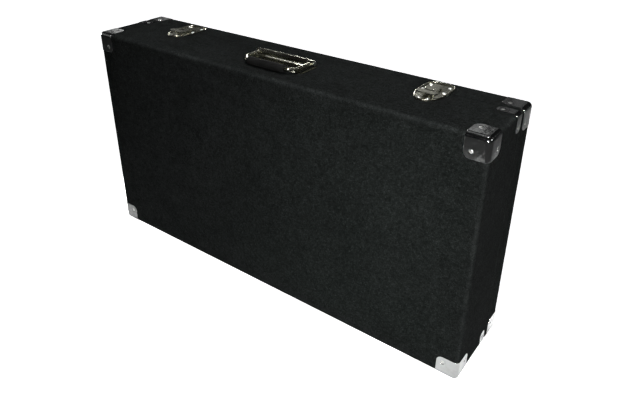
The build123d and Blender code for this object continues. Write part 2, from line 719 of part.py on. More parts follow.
with BuildPart() as wing:
    with BuildSketch(Plane.XY.offset(ZT + WING_H - 1.0)) as wing_outline:
        with BuildLine():
            Polyline((-9.0, 14.0), (-9.0, 12.2), (-19.0, 9.0))
            ThreePointArc((-19.0, 9.0), (-20.0, 0.5), (-13.5, -4.0))
            ThreePointArc((-13.5, -4.0), (-6.0, -4.4), (0.0, -2.2))
            ThreePointArc((0.0, -2.2), (6.0, -4.4), (13.5, -4.0))
            ThreePointArc((13.5, -4.0), (20.0, 0.5), (19.0, 9.0))
            Polyline((19.0, 9.0), (9.0, 12.2), (9.0, 14.0), (6.1, 14.0), (6.1, 10.2), (-6.1, 10.2), (-6.1, 14.0), (-9.0, 14.0))
        make_face()
    extrude(amount=2.0)
    for sx in (-1, 1):
        with Locations(Location((sx * 7.6, SPINDLE_Y, ZT + WING_H), (0, 90, 0))):
            Cylinder(2.4, 3.0)
    with Locations(Location((0, SPINDLE_Y, ZT + WING_H), (0, 90, 0))):
        Cylinder(1.3, 30.0, mode=Mode.SUBTRACT)

with BuildPart() as hook:
    with BuildSketch(Plane.XY.offset(ZT + 3.0)):
        with Locations((0, 24.25)):
            Rectangle(16.0, 48.5)
        with Locations((0, 11.1)):
            SlotOverall(15.4, 9.6, rotation=90, mode=Mode.SUBTRACT)
    extrude(amount=1.6)
    with BuildSketch(Plane.XY.offset(ZT + 1.6)):
        with Locations((0, 47.25)):
            Rectangle(16.0, 2.5)
    extrude(amount=1.5)

for side, lx in (("left", -LATCH_X), ("right", LATCH_X)):
    for name, piece in (
        ("latch_plate", latch_plate),
        ("latch_keeper", keeper),
        ("latch_spindle", spindle),
        ("latch_wing", wing),
        ("latch_hook", hook),
    ):
        with BuildPart() as placed:
            add(piece.part.moved(Location((lx, 0, 0))))
        save(placed, f"{name}_{side}")
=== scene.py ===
import json
import math

import bmesh
import bpy
from mathutils import Matrix, Vector, noise


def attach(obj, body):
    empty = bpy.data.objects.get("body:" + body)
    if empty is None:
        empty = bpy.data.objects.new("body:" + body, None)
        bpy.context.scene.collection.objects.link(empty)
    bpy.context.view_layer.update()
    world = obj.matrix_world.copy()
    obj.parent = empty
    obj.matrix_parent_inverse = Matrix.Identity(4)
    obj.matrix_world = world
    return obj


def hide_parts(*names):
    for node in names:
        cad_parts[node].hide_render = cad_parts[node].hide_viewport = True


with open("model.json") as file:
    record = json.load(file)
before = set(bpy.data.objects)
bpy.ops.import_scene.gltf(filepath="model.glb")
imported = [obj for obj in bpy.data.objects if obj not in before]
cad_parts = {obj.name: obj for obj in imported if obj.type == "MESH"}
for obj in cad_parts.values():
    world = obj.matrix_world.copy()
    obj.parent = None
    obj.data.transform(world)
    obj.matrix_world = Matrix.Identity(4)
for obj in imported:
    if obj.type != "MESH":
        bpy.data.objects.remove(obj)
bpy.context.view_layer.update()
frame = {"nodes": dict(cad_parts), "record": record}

scene = bpy.context.scene
scene.view_settings.view_transform = "Standard"
scene.view_settings.look = "None"
scene.view_settings.exposure = 0.0

# ------------------------------------------------------------------ sizes, in metres
MM = 0.001
X1, YF, YB, YP = 480 * MM, -94 * MM, 94 * MM, 39 * MM
Z0, ZT = 1.2 * MM, 509.2 * MM
SPLIT = 0.2 * MM
EDGE = 8.0 * MM
LATCH_X = 320 * MM
HANDLE_Y, HANDLE_Z = 3.0 * MM, ZT + 9.8 * MM
BAIL_Y = -57.0 * MM


# ------------------------------------------------------------------ shader helpers
class Shader:
    """A material and short ways to add nodes to it."""

    def __init__(self, name):
        self.mat = bpy.data.materials.new(name)
        self.mat.use_nodes = True
        self.nt = self.mat.node_tree
        self.nt.nodes.clear()
        self.out = self.nt.nodes.new("ShaderNodeOutputMaterial")
        self.bsdf = self.nt.nodes.new("ShaderNodeBsdfPrincipled")
        self.nt.links.new(self.bsdf.outputs[0], self.out.inputs[0])
        self.coord = self.nt.nodes.new("ShaderNodeTexCoord").outputs["Object"]

    def put(self, socket, value):
        target = self.bsdf.inputs[socket] if isinstance(socket, str) else socket
        if isinstance(value, bpy.types.NodeSocket):
            self.nt.links.new(value, target)
        elif isinstance(value, (tuple, list)) and len(value) == 3 and len(target.default_value) == 4:
            target.default_value = (*value, 1.0)
        else:
            target.default_value = value

    def node(self, kind, **props):
        n = self.nt.nodes.new(kind)
        for key, value in props.items():
            setattr(n, key, value)
        return n

    def stretch(self, scale, rotation=(0, 0, 0)):
        n = self.node("ShaderNodeMapping")
        n.inputs["Scale"].default_value = scale
        n.inputs["Rotation"].default_value = rotation
        self.nt.links.new(self.coord, n.inputs["Vector"])
        return n.outputs[0]

    def noise(self, scale, detail=2.0, rough=0.5, distortion=0.0, vector=None):
        n = self.node("ShaderNodeTexNoise")
        n.inputs["Scale"].default_value = scale
        n.inputs["Detail"].default_value = detail
        n.inputs["Roughness"].default_value = rough
        n.inputs["Distortion"].default_value = distortion
        self.nt.links.new(vector or self.coord, n.inputs["Vector"])
        return n.outputs["Fac"]

    def voronoi(self, scale, feature="F1", vector=None, randomness=1.0):
        n = self.node("ShaderNodeTexVoronoi", feature=feature)
        n.inputs["Scale"].default_value = scale
        n.inputs["Randomness"].default_value = randomness
        self.nt.links.new(vector or self.coord, n.inputs["Vector"])
        return n.outputs["Distance"]

    def ramp(self, fac, stops):
        n = self.node("ShaderNodeValToRGB")
        el = n.color_ramp.elements
        while len(el) < len(stops):
            el.new(0.5)
        for e, (pos, col) in zip(el, stops):
            e.position = pos
            e.color = (*col, 1.0) if len(col) == 3 else col
        self.nt.links.new(fac, n.inputs[0])
        return n.outputs["Color"]

    def range(self, fac, a, b, c, d):
        n = self.node("ShaderNodeMapRange")
        for key, value in zip(("From Min", "From Max", "To Min", "To Max"), (a, b, c, d)):
            n.inputs[key].default_value = value
        self.nt.links.new(fac, n.inputs[0])
        return n.outputs[0]

    def math(self, op, a, b=None, c=None):
        n = self.node("ShaderNodeMath", operation=op)
        for i, v in enumerate((a, b, c)):
            if v is None:
                continue
            if isinstance(v, bpy.types.NodeSocket):
                self.nt.links.new(v, n.inputs[i])
            else:
                n.inputs[i].default_value = v
        return n.outputs[0]

    def mix(self, fac, a, b, mode="MIX"):
        n = self.node("ShaderNodeMix", data_type="RGBA", blend_type=mode)
        for socket, v in ((n.inputs[0], fac), (n.inputs[6], a), (n.inputs[7], b)):
            if isinstance(v, bpy.types.NodeSocket):
                self.nt.links.new(v, socket)
            elif isinstance(v, (tuple, list)):
                socket.default_value = (*v, 1.0)
            else:
                socket.default_value = v
        return n.outputs[2]

    def axis(self, which):
        n = self.node("ShaderNodeSeparateXYZ")
        self.nt.links.new(self.coord, n.inputs[0])
        return n.outputs["XYZ".index(which)]

    def bump(self, height, strength, distance, normal=None):
        n = self.node("ShaderNodeBump")
        n.inputs["Strength"].default_value = strength
        n.inputs["Distance"].default_value = distance
        self.nt.links.new(height, n.inputs["Height"])
        if normal is not None:
            self.nt.links.new(normal, n.inputs["Normal"])
        return n.outputs[0]


# ------------------------------------------------------------------ materials
def felt_material():
    s = Shader("felt")
    # fibres: thin noise stretched three ways, so that short hairs lie in every direction
    f1 = s.noise(900, 3, 0.65, 0.6, s.stretch((1.0, 0.28, 0.42), (0.4, 0.2, 0.6)))
    f2 = s.noise(1000, 3, 0.65, 0.6, s.stretch((0.32, 1.0, 0.5), (0.9, 0.5, 0.1)))
    f3 = s.noise(1100, 3, 0.65, 0.6, s.stretch((0.5, 0.4, 1.0), (0.2, 1.1, 0.8)))
    fibre = s.math("MAXIMUM", s.math("MAXIMUM", f1, f2), f3)
    clump = s.noise(260, 3, 0.6, 0.8)
    blotch = s.noise(38, 3, 0.55)
    wide = s.noise(5.5, 2, 0.5)
    base = s.ramp(fibre, [(0.42, (0.0028, 0.0031, 0.0030)), (0.58, (0.0067, 0.0075, 0.0072)), (0.70, (0.0157, 0.0174, 0.0167)), (0.80, (0.036, 0.0391, 0.0375))])
    tuft = s.noise(135, 2, 0.55, 0.5)
    tone = s.math("MULTIPLY", s.range(clump, 0.3, 0.7, 0.70, 1.32), s.range(blotch, 0.3, 0.7, 0.88, 1.13))
    tone = s.math("MULTIPLY", tone, s.range(tuft, 0.3, 0.7, 0.74, 1.28))
    tone = s.math("MULTIPLY", tone, s.range(wide, 0.3, 0.7, 0.90, 1.12))
    # pale lint, a few specks
    lint = s.ramp(s.voronoi(95, randomness=1.0, vector=s.stretch((1.0, 1.0, 1.0), (0.3, 0.2, 0.5))), [(0.0, (1, 1, 1)), (0.045, (0, 0, 0))])
    col = s.mix(1.0, base, tone, "MULTIPLY")
    lint_mask = s.math("MULTIPLY", lint, s.range(s.noise(23, 1, 0.5), 0.60, 0.66, 0.0, 0.5))
    col = s.mix(lint_mask, col, (0.045, 0.047, 0.045))
    # along the outer edges the felt is lighter: partly stretched and worn fibres, partly a painted edge highlight
    half = [s.math("SUBTRACT", e, s.math("ABSOLUTE", s.math("SUBTRACT", s.axis(k), c)))
            for k, e, c in (("X", X1, 0.0), ("Y", YB, 0.0), ("Z", (ZT - Z0) / 2, (ZT + Z0) / 2))]
    near = s.math("MINIMUM", half[0], half[1])
    far = s.math("MAXIMUM", half[0], half[1])
    second = s.math("MAXIMUM", near, s.math("MINIMUM", far, half[2]))
    worn_edge_and_highlight = s.range(second, 0.0, 9.5 * MM, 1.0, 0.0)
    worn_edge_and_highlight = s.math("MULTIPLY", s.math("POWER", worn_edge_and_highlight, 1.6), s.range(s.noise(11, 3, 0.6), 0.35, 0.65, 0.35, 1.0))
    # painted edge highlight, with wear: the felt colour is raised up to 2.1 times along the outer edges
    col = s.mix(1.0, col, s.range(worn_edge_and_highlight, 0.0, 1.0, 1.0, 2.1), "MULTIPLY")
    s.put("Base Color", col)
    s.put("Roughness", 1.0)
    s.put("Specular IOR Level", 0.0)
    s.put("Sheen Weight", 0.005)
    s.put("Sheen Roughness", 0.45)
    s.put("Sheen Tint", (0.85, 0.88, 0.86, 1.0))
    n = s.bump(clump, 0.40, 0.0012)
    n = s.bump(fibre, 0.55, 0.0006, n)
    s.put("Normal", n)
    return s.mat


def nickel_material(name="nickel", tone=(0.350, 0.357, 0.352), rough=0.13, wear=1.0, fine=0.34):
    s = Shader(name)
    grime = s.noise(42, 5, 0.62, 0.4)
    cloud = s.noise(14, 3, 0.55)
    scratch1 = s.noise(1.0, 2, 0.4, 0.0, s.stretch((60, 2400, 900), (0.3, 0.5, 0.9)))
    scratch2 = s.noise(1.0, 2, 0.4, 0.0, s.stretch((2600, 90, 700), (1.0, 0.1, 0.4)))
    scratch = s.math("MAXIMUM", s.range(scratch1, 0.66, 0.74, 0, 1), s.range(scratch2, 0.67, 0.75, 0, 1))
    dull = s.range(grime, 0.52, 0.74, 0.0, 1.0)
    col = s.mix(s.math("MULTIPLY", dull, 0.45 * wear), tone, tuple(c * 0.62 for c in tone))
    s.put("Base Color", col)
    s.put("Metallic", 1.0)
    r = s.math("ADD", s.range(cloud, 0.3, 0.7, rough * 0.75, rough * 1.35), s.math("MULTIPLY", dull, 0.06 * wear))
    r = s.math("ADD", r, s.math("MULTIPLY", scratch, 0.06 * wear))
    s.put("Roughness", r)
    n = s.bump(s.noise(48, 2, 0.5), 0.38, 0.0012)
    n = s.bump(s.noise(150, 2, 0.5), fine, 0.0006, n)
    n = s.bump(scratch, 0.10 * wear, 0.0002, n)
    s.put("Normal", n)
    return s.mat


def screw_material():
    s = Shader("screw_steel")
    turn = s.noise(2600, 2, 0.5)
    grime = s.noise(160, 4, 0.6)
    s.put("Base Color", s.ramp(grime, [(0.42, (0.74, 0.74, 0.72)), (0.76, (0.44, 0.435, 0.41))]))
    s.put("Metallic", 1.0)
    s.put("Roughness", s.range(grime, 0.35, 0.75, 0.28, 0.42))
    s.put("Normal", s.bump(turn, 0.06, 0.0002))
    return s.mat


def zinc_material():
    s = Shader("zinc_steel")
    brushed = s.noise(1.0, 3, 0.6, 0.0, s.stretch((40, 1500, 1500)))
    bloom = s.voronoi(70)
    grime = s.noise(30, 4, 0.6)
    col = s.mix(s.range(grime, 0.45, 0.75, 0.0, 0.8), (0.56, 0.565, 0.56), (0.33, 0.325, 0.31))
    col = s.mix(s.range(bloom, 0.1, 0.7, 0.25, 0.0), col, (0.66, 0.67, 0.67))
    s.put("Base Color", col)
    s.put("Metallic", 1.0)
    s.put("Roughness", s.math("ADD", s.range(brushed, 0.3, 0.7, 0.22, 0.36), s.range(grime, 0.5, 0.8, 0.0, 0.15)))
    s.put("Normal", s.bump(brushed, 0.12, 0.0002))
    return s.mat


def alloy_material():
    s = Shader("mill_alloy")
    drawn = s.noise(1.0, 3, 0.6, 0.0, s.stretch((12, 1800, 300)))
    s.put("Base Color", s.ramp(s.noise(20, 4, 0.6), [(0.35, (0.62, 0.625, 0.63)), (0.7, (0.44, 0.445, 0.45))]))
    s.put("Metallic", 1.0)
    s.put("Roughness", s.range(drawn, 0.3, 0.7, 0.28, 0.46))
    s.put("Normal", s.bump(drawn, 0.15, 0.0002))
    return s.mat


def ply_material():
    s = Shader("black_ply")
    grain = s.noise(1.0, 5, 0.62, 0.25, s.stretch((14, 420, 420)))
    pores = s.noise(1.0, 2, 0.5, 0.0, s.stretch((60, 1900, 1900)))
    plies = s.node("ShaderNodeTexWave", wave_type="BANDS", bands_direction="Y")
    plies.inputs["Scale"].default_value = 60
    col = s.ramp(grain, [(0.32, (0.010, 0.0098, 0.0095)), (0.55, (0.018, 0.0175, 0.0165)), (0.72, (0.040, 0.037, 0.033))])
    scuff = s.range(s.noise(26, 5, 0.7), 0.62, 0.74, 0.0, 0.55)
    col = s.mix(scuff, col, (0.075, 0.066, 0.055))
    s.put("Base Color", col)
    s.put("Roughness", s.range(grain, 0.3, 0.7, 0.48, 0.70))
    s.put("Normal", s.bump(pores, 0.25, 0.0004, s.bump(grain, 0.25, 0.0006)))
    return s.mat


def foam_material():
    s = Shader("foam")
    cell = s.voronoi(900)
    big = s.voronoi(420)
    mottled = s.noise(30, 3, 0.6)
    col = s.ramp(cell, [(0.05, (0.010, 0.010, 0.0105)), (0.45, (0.032, 0.032, 0.034)), (0.8, (0.055, 0.055, 0.058))])
    col = s.mix(1.0, col, s.range(mottled, 0.3, 0.7, 0.75, 1.2), "MULTIPLY")
    s.put("Base Color", col)
    s.put("Roughness", 0.97)
    s.put("Specular IOR Level", 0.1)
    s.put("Sheen Weight", 0.12)
    s.put("Normal", s.bump(cell, 0.8, 0.0006, s.bump(big, 0.5, 0.0008)))
    return s.mat


def grip_material():
    s = Shader("grip_rubber")
    skin = s.voronoi(1100)
    wear = s.noise(60, 4, 0.65)
    s.put("Base Color", s.ramp(wear, [(0.35, (0.0050, 0.0051, 0.0049)), (0.65, (0.0088, 0.0088, 0.0086)), (0.8, (0.019, 0.0187, 0.0182))]))
    s.put("Roughness", s.range(wear, 0.3, 0.7, 0.62, 0.82))
    s.put("Specular IOR Level", 0.03)
    s.put("Normal", s.bump(skin, 0.22, 0.0003))
    return s.mat


FELT = felt_material()
NICKEL = nickel_material()
AGED = nickel_material("aged_nickel", (0.388, 0.386, 0.315), 0.20, 0.8, 0.10)
# painted shade: a darker copy of the nickel, with more grime, used only on the bottom-left corner plate to stand in
# for a dimmer reflection there
SHADED_NICKEL_COPY = nickel_material("shaded_nickel_copy", (0.165, 0.166, 0.163), 0.24, 1.3)
SCREW = screw_material()
ZINC = zinc_material()
ALLOY = alloy_material()
PLY = ply_material()
FOAM = foam_material()
GRIP = grip_material()

BY_SLOT = {"carpet": FELT, "nickel": NICKEL, "screw": SCREW, "zinc": ZINC, "strip": ALLOY, "ply": PLY, "foam": FOAM, "grip": GRIP}
for part in frame["record"]["subparts"]:
    obj = frame["nodes"][part["node"]]
    for slot in obj.material_slots:
        slot.material = BY_SLOT[part["material_slot"]]
        if slot.material == NICKEL and part["node"].startswith(("latch", "handle")):
            slot.material = AGED
        # painted shade: the bottom-left corner plate gets the darker copy of the nickel
        elif slot.material == NICKEL and part["node"] == "base_corner_bottom_left":
            slot.material = SHADED_NICKEL_COPY


# ------------------------------------------------------------------ mesh helpers
def add_mesh(name, verts, faces, material, smooth=True):
    mesh = bpy.data.meshes.new(name)
    mesh.from_pydata([tuple(v) for v in verts], [], faces)
    mesh.update()
    bm = bmesh.new()
    bm.from_mesh(mesh)
    bmesh.ops.recalc_face_normals(bm, faces=bm.faces)
    bm.to_mesh(mesh)
    bm.free()
    if smooth:
        mesh.polygons.foreach_set("use_smooth", [True] * len(mesh.polygons))
    mesh.materials.append(material)
    obj = bpy.data.objects.new(name, mesh)
    scene.collection.objects.link(obj)
    return obj


def lines(low, high, dense, fine, coarse):
    """Grid lines from low to high, closer together inside the dense ranges."""
    cuts = sorted({low, high, *[min(max(v, low), high) for pair in dense for v in pair]})
    got = [low]
    for a, b in zip(cuts, cuts[1:]):
        middle = (a + b) / 2
        step = fine if any(p <= middle <= q for p, q in dense) else coarse
        n = max(1, round((b - a) / step))
        got += [a + (b - a) * i / n for i in range(1, n + 1)]
    return got


def rounded_rect(px, py, hx, hy, r):
    """Signed distance from a rounded rectangle, negative inside."""
    qx, qy = abs(px) - (hx - r), abs(py) - (hy - r)
    return min(max(qx, qy), 0.0) + math.hypot(max(qx, 0.0), max(qy, 0.0)) - r


def latch_front(px, py):
    """About the distance from the outline of a latch's base plate: a half ellipse, then straight sides."""
    if py > 27 * MM:
        return abs(px) - 29 * MM
    ex, ey = px / (29 * MM), (py - 27 * MM) / (49 * MM)
    k = math.hypot(ex, ey)
    if k < 1e-6:
        return -29 * MM
    return (k - 1.0) * k / math.hypot(ex / (29 * MM), ey / (49 * MM))


def smooth_step(t):
    t = min(max(t, 0.0), 1.0)
    return t * t * (3 - 2 * t)


def wave(x, y, z, scale, seed=0.0):
    return noise.noise(Vector((x * scale + seed, y * scale - seed, z * scale + 2 * seed)))


# ------------------------------------------------------------------ felt covers
PROUD = 0.55 * MM      # how far the felt swells over the metal's underside


def felt_cover(name, depth, to_row, is_base):
    """A felt skin over one half. Local y runs from the outer face (0) to the rim (depth)."""
    rim = depth - SPLIT
    dense_x = [(-X1, -X1 + 52 * MM), (X1 - 52 * MM, X1), (-LATCH_X - 36 * MM, -LATCH_X + 36 * MM), (LATCH_X - 36 * MM, LATCH_X + 36 * MM)]
    if is_base:
        dense_x.append((-84 * MM, 84 * MM))
    xs = lines(-X1, X1, dense_x, 1.9 * MM, 7 * MM)
    cut = depth - 6.2 * MM      # the rebate for the hinge, along the bottom of the rim
    ys = lines(0.0, rim - 0.9 * MM, [(0.0, cut), (cut, rim)], 1.9 * MM, 2.2 * MM)
    zs = lines(Z0, ZT, [(Z0, Z0 + 52 * MM), (ZT - 52 * MM, ZT)], 1.9 * MM, 7 * MM)
    nx, ny, nz = len(xs) - 1, len(ys) - 1, len(zs) - 1
    index, verts, normals = {}, [], []

    def shape(x, y, z):
        """The rounded, pressed surface over a point of the sharp box, and its normal."""
        q = Vector((min(max(x, -X1 + EDGE), X1 - EDGE), max(y, EDGE), min(max(z, Z0 + EDGE), ZT - EDGE)))
        n = (Vector((x, y, z)) - q).normalized()
        dx, dz = X1 - abs(x), min(z - Z0, ZT - z)
        c = sorted((dx, y, dz))[1:]
        d = rounded_rect(c[0], c[1], 43 * MM, 43 * MM, 13 * MM)
        row = to_row(y)
        if is_base:
            for face, yc in (((ZT - z) < 60 * MM, 28 * MM), ((z - Z0) < 60 * MM, 23 * MM)):
                if face and dx < 60 * MM:
                    reach = max(dx - 0.0, 0.0) if dz < 1e-6 else dz
                    length = 40 * MM if dz < 1e-6 else 36 * MM
                    d = min(d, rounded_rect(row - yc, reach, 10 * MM, length, 9.6 * MM))
            if ZT - z < 1e-6:
                d = min(d, rounded_rect(x, row + 14 * MM, 75 * MM, 30 * MM, 10 * MM))
                d = min(d, latch_front(abs(x) - LATCH_X, row))
        elif ZT - z < 1e-6:
            d = min(d, rounded_rect(abs(x) - LATCH_X, row - 43 * MM, 29 * MM, 33 * MM, 19 * MM))
        if z - Z0 < 1e-6:
            d = min(d, rounded_rect(x, row - YP, 425 * MM, 28.5 * MM, 0.5 * MM))
        free = smooth_step((d - 0.2 * MM) / (3.2 * MM))
        h = -0.08 * MM + PROUD * free
        h += free * (0.16 * MM * wave(x, row, z, 30.0) + 0.10 * MM * wave(x, row, z, 95.0, 3.1))
        # the rim's edge is pressed a little thinner
        h -= 0.35 * MM * smooth_step((y - (rim - 5 * MM)) / (5 * MM)) * free
        return q + n * (EDGE + h), n

    def vertex(i, j, k):
        key = (i, j, k)
        if key not in index:
            p, n = shape(xs[i], ys[j], zs[k])
            index[key] = len(verts)
            verts.append(p)
            normals.append(n)
        return index[key]

    faces = []
    for i in range(nx):
        for k in range(nz):
            faces.append((vertex(i, 0, k), vertex(i + 1, 0, k), vertex(i + 1, 0, k + 1), vertex(i, 0, k + 1)))
    for j in range(ny):
        for k in range(nz):
            for i in (0, nx):
                faces.append((vertex(i, j, k), vertex(i, j + 1, k), vertex(i, j + 1, k + 1), vertex(i, j, k + 1)))
        for i in range(nx):
            for k in (0, nz):
                faces.append((vertex(i, j, k), vertex(i + 1, j, k), vertex(i + 1, j + 1, k), vertex(i, j + 1, k)))
    # the edge of the felt at the rim: rounded over, then in to the wood and back under itself
    outer = len(faces)
    ring = [(i, nz) for i in range(nx)] + [(nx, k) for k in range(nz, 0, -1)] + [(i, 0) for i in range(nx, 0, -1)] + [(0, k) for k in range(nz)]
    loops = [[vertex(i, ny, k) for i, k in ring]]
    for inset, y in ((0.25 * MM, rim - 0.25 * MM), (0.9 * MM, rim), (3.35 * MM, rim), (3.42 * MM, rim - 7 * MM)):
        loop = []
        for i, k in ring:
            v = index[(i, ny, k)]
            p = verts[v] - normals[v] * inset
            loop.append(len(verts))
            verts.append(Vector((p.x, y, p.z)))
            normals.append(normals[v])
        loops.append(loop)
    for a, b in zip(loops, loops[1:]):
        for n in range(len(ring)):
            m = (n + 1) % len(ring)
            faces.append((a[n], a[m], b[m], b[n]))
    # the felt stops at the rebate, and its cut edge runs in to the wood there
    kept = [
        f
        for n, f in enumerate(faces)
        if not all(verts[v].z < 7.7 * MM and (n >= outer or verts[v].y > cut - 0.05 * MM) for v in f)
    ]
    j = min(range(ny + 1), key=lambda n: abs(ys[n] - cut))
    under = []
    for i in range(nx + 1):
        p = verts[index[(i, j, 0)]]
        under.append(len(verts))
        verts.append(Vector((p.x, p.y, p.z + 3.2 * MM)))
    kept += [(index[(i, j, 0)], index[(i + 1, j, 0)], under[i + 1], under[i]) for i in range(nx)]
    used = sorted({v for f in kept for v in f})
    remap = {v: n for n, v in enumerate(used)}
    points = [(verts[v].x, to_row(verts[v].y), verts[v].z) for v in used]
    return add_mesh(name, points, [tuple(remap[v] for v in f) for f in kept], FELT)


base_cover = felt_cover("base_felt_cover", 133.0 * MM, lambda y: YF + y, True)
lid_cover = felt_cover("lid_felt_cover", 55.0 * MM, lambda y: YB - y, False)
for cover, body, node in ((base_cover, "base", "base_carpet"), (lid_cover, "lid", "lid_carpet")):
    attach(cover, body)
    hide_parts(node)


# ------------------------------------------------------------------ foam pads
def foam_pad(name, low, high, crown_axis_sign, seed):
    """A cut foam pad: softened edges, a low crown and small dents. Its free face looks along +Y or -Y."""
    r = 2.2 * MM
    grid = []
    for a, b in zip(low, high):
        inner = [(a, a + 2.4 * MM), (b - 2.4 * MM, b)]
        grid.append(lines(a, b, inner, 0.8 * MM, 9 * MM))
    xs, ys, zs = grid
    nx, ny, nz = len(xs) - 1, len(ys) - 1, len(zs) - 1
    index, verts = {}, []

    def vertex(i, j, k):
        key = (i, j, k)
        if key in index:
            return index[key]
        x, y, z = xs[i], ys[j], zs[k]
        q = Vector([min(max(c, a + r), b - r) for c, a, b in zip((x, y, z), low, high)])
        n = (Vector((x, y, z)) - q).normalized()
        p = q + n * r
        out = n.y * crown_axis_sign
        if out > 0.2:
            e = min(x - low[0], high[0] - x, z - low[2], high[2] - z)
            dent = 0.5 * MM * wave(x, 0, z, 9.0, seed) + 0.25 * MM * wave(x, 0, z, 34.0, seed + 2)
            sink = 0.9 * MM * (1 - smooth_step(e / (16 * MM)))
            p.y -= crown_axis_sign * (0.35 * MM + sink - dent * 0.6) * out
        else:
            # the cut edges pull in a little between the corners
            along = wave(x, y, z, 14.0, seed)
            p -= n * (0.15 * MM + 0.25 * MM * abs(along))
        index[key] = len(verts)
        verts.append(p)
        return index[key]

    faces = []
    for j in (0, ny):
        for i in range(nx):
            for k in range(nz):
                faces.append((vertex(i, j, k), vertex(i + 1, j, k), vertex(i + 1, j, k + 1), vertex(i, j, k + 1)))
    for i in (0, nx):
        for j in range(ny):
            for k in range(nz):
                faces.append((vertex(i, j, k), vertex(i, j + 1, k), vertex(i, j + 1, k + 1), vertex(i, j, k + 1)))
    for k in (0, nz):
        for i in range(nx):
            for j in range(ny):
                faces.append((vertex(i, j, k), vertex(i + 1, j, k), vertex(i + 1, j + 1, k), vertex(i, j + 1, k)))
    return add_mesh(name, verts, faces, FOAM)


IX, I0, IT = 467.5 * MM, 13.7 * MM, 496.7 * MM
DIV = 136.5 * MM
pads = []
for name, a, b, seed in (
    ("foam_pad_left", -IX, -DIV - 4.5 * MM, 1.3),
    ("foam_pad_middle", -DIV + 4.5 * MM, DIV - 4.5 * MM, 5.7),
    ("foam_pad_right", DIV + 4.5 * MM, IX, 9.2),
):
    pad = foam_pad(name, (a, -81.5 * MM, I0), (b, -71.5 * MM, IT), 1.0, seed)
    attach(pad, "base")
    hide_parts("base_floor_foam")
    pads.append(pad)

lid_pad = foam_pad("lid_foam_pad", (-455 * MM, 71.5 * MM, 25.2 * MM), (455 * MM, 81.5 * MM, 485.2 * MM), -1.0, 13.1)
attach(lid_pad, "lid")
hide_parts("lid_foam")


# ------------------------------------------------------------------ moulded grip
def moulded_grip():
    """A soft grip: a turned profile with end collars and shallow ribs along its middle."""
    half, r0, bore = 46 * MM, 8.0 * MM, 3.55 * MM
    profile = [(-half, bore), (-half, 5.6 * MM)]
    for t in range(0, 7):
        a = math.radians(90 * t / 6)
        profile.append((-half + 1.8 * MM * (1 - math.cos(a)), 5.6 * MM + 1.8 * MM * math.sin(a)))
    n = 92
    for i in range(1, n):
        x = -half + 3.0 * MM + (2 * half - 6.0 * MM) * i / n
        u = abs(x) / half
        r = 7.35 * MM + 0.62 * MM * (1 - u ** 3)
        if u < 0.84:
            r -= 0.34 * MM * (0.5 + 0.5 * math.cos(2 * math.pi * x / (5.2 * MM))) ** 3
        profile.append((x, min(r, r0)))
    for t in range(6, -1, -1):
        a = math.radians(90 * t / 6)
        profile.append((half - 1.8 * MM * (1 - math.cos(a)), 5.6 * MM + 1.8 * MM * math.sin(a)))
    profile += [(half, 5.6 * MM), (half, bore)]
    ring = 40
    verts, faces = [], []
    for x, r in profile:
        for m in range(ring):
            a = 2 * math.pi * m / ring
            # slightly flattened towards the hand
            k = 1.0 - 0.03 * math.cos(2 * a)
            verts.append((x, BAIL_Y + r * k * math.cos(a) if r > bore else BAIL_Y + r * math.cos(a), HANDLE_Z + r * min(k, 1.0) * math.sin(a)))
    rows = len(profile)
    for i in range(rows):
        nxt = (i + 1) % rows
        for m in range(ring):
            q = (m + 1) % ring
            faces.append((i * ring + m, i * ring + q, nxt * ring + q, nxt * ring + m))
    return add_mesh("moulded_grip", verts, faces, GRIP)


grip = moulded_grip()
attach(grip, "handle")
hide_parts("handle_grip")

# ------------------------------------------------------------------ floor
def pale(name, glow):
    s = Shader(name)
    s.put("Base Color", s.ramp(s.noise(3, 2, 0.5), [(0.3, (0.83, 0.83, 0.83)), (0.7, (0.86, 0.86, 0.86))]))
    s.put("Roughness", 0.9)
    s.put("Specular IOR Level", 0.1)
    if glow:
        s.put("Emission Color", (1.0, 1.0, 1.0, 1.0))
        s.put("Emission Strength", glow)
    return s.mat


def staged(name, verts, faces, mat):
    mesh = bpy.data.meshes.new(name)
    mesh.from_pydata(verts, [], faces)
    mesh.materials.append(mat)
    obj = bpy.data.objects.new(name, mesh)
    scene.collection.objects.link(obj)
    return obj


def pale_floor():
    """The floor that lights the case from below and is mirrored in its metal.

    It is open behind the hinge, where the lid swings below the plane that the case stands on, and has a lower part
    there.
    """
    far, side, hinge, back = 9.0, 0.4835, 0.0385, 0.66
    deep = -0.35
    verts = [
        (-far, -far, 0), (far, -far, 0), (far, hinge, 0), (-far, hinge, 0),
        (-side, hinge, 0), (side, hinge, 0), (side, back, 0), (-side, back, 0),
        (far, back, 0), (-far, back, 0), (far, far, 0), (-far, far, 0),
        (-1.1, -0.5, deep), (1.1, -0.5, deep), (1.1, 1.3, deep), (-1.1, 1.3, deep),
    ]
    faces = [(0, 1, 2, 5, 4, 3), (5, 2, 8, 6), (3, 4, 7, 9), (9, 7, 6, 8, 10, 11), (12, 13, 14, 15)]
    obj = staged("floor", verts, faces, pale("pale_floor", 0.0))
    obj.visible_camera = False


def pale_sweep():
    """The floor and wall that are seen: evenly pale on all sides, and a step lower behind the hinge."""
    far, hinge, high, deep, around = 12.0, 0.0385, 0.0002, -0.7, 96
    verts = [
        (-far, -far, high), (far, -far, high), (far, hinge, high), (-far, hinge, high),
        (far, hinge, deep), (-far, hinge, deep), (far, far, deep), (-far, far, deep),
    ]
    faces = [(0, 1, 2, 3), (3, 2, 4, 5), (5, 4, 6, 7)]
    for z in (deep, 14.0):
        verts += [(11.5 * math.cos(2 * math.pi * k / around), 11.5 * math.sin(2 * math.pi * k / around), z) for k in range(around)]
    for k in range(around):
        n = (k + 1) % around
        faces.append((8 + k, 8 + n, 8 + around + n, 8 + around + k))
    obj = staged("sweep", verts, faces, pale("pale_sweep", 1.15))
    obj.visible_diffuse = False
    obj.visible_glossy = False
    obj.visible_transmission = False
    obj.visible_shadow = False


pale_floor()
pale_sweep()

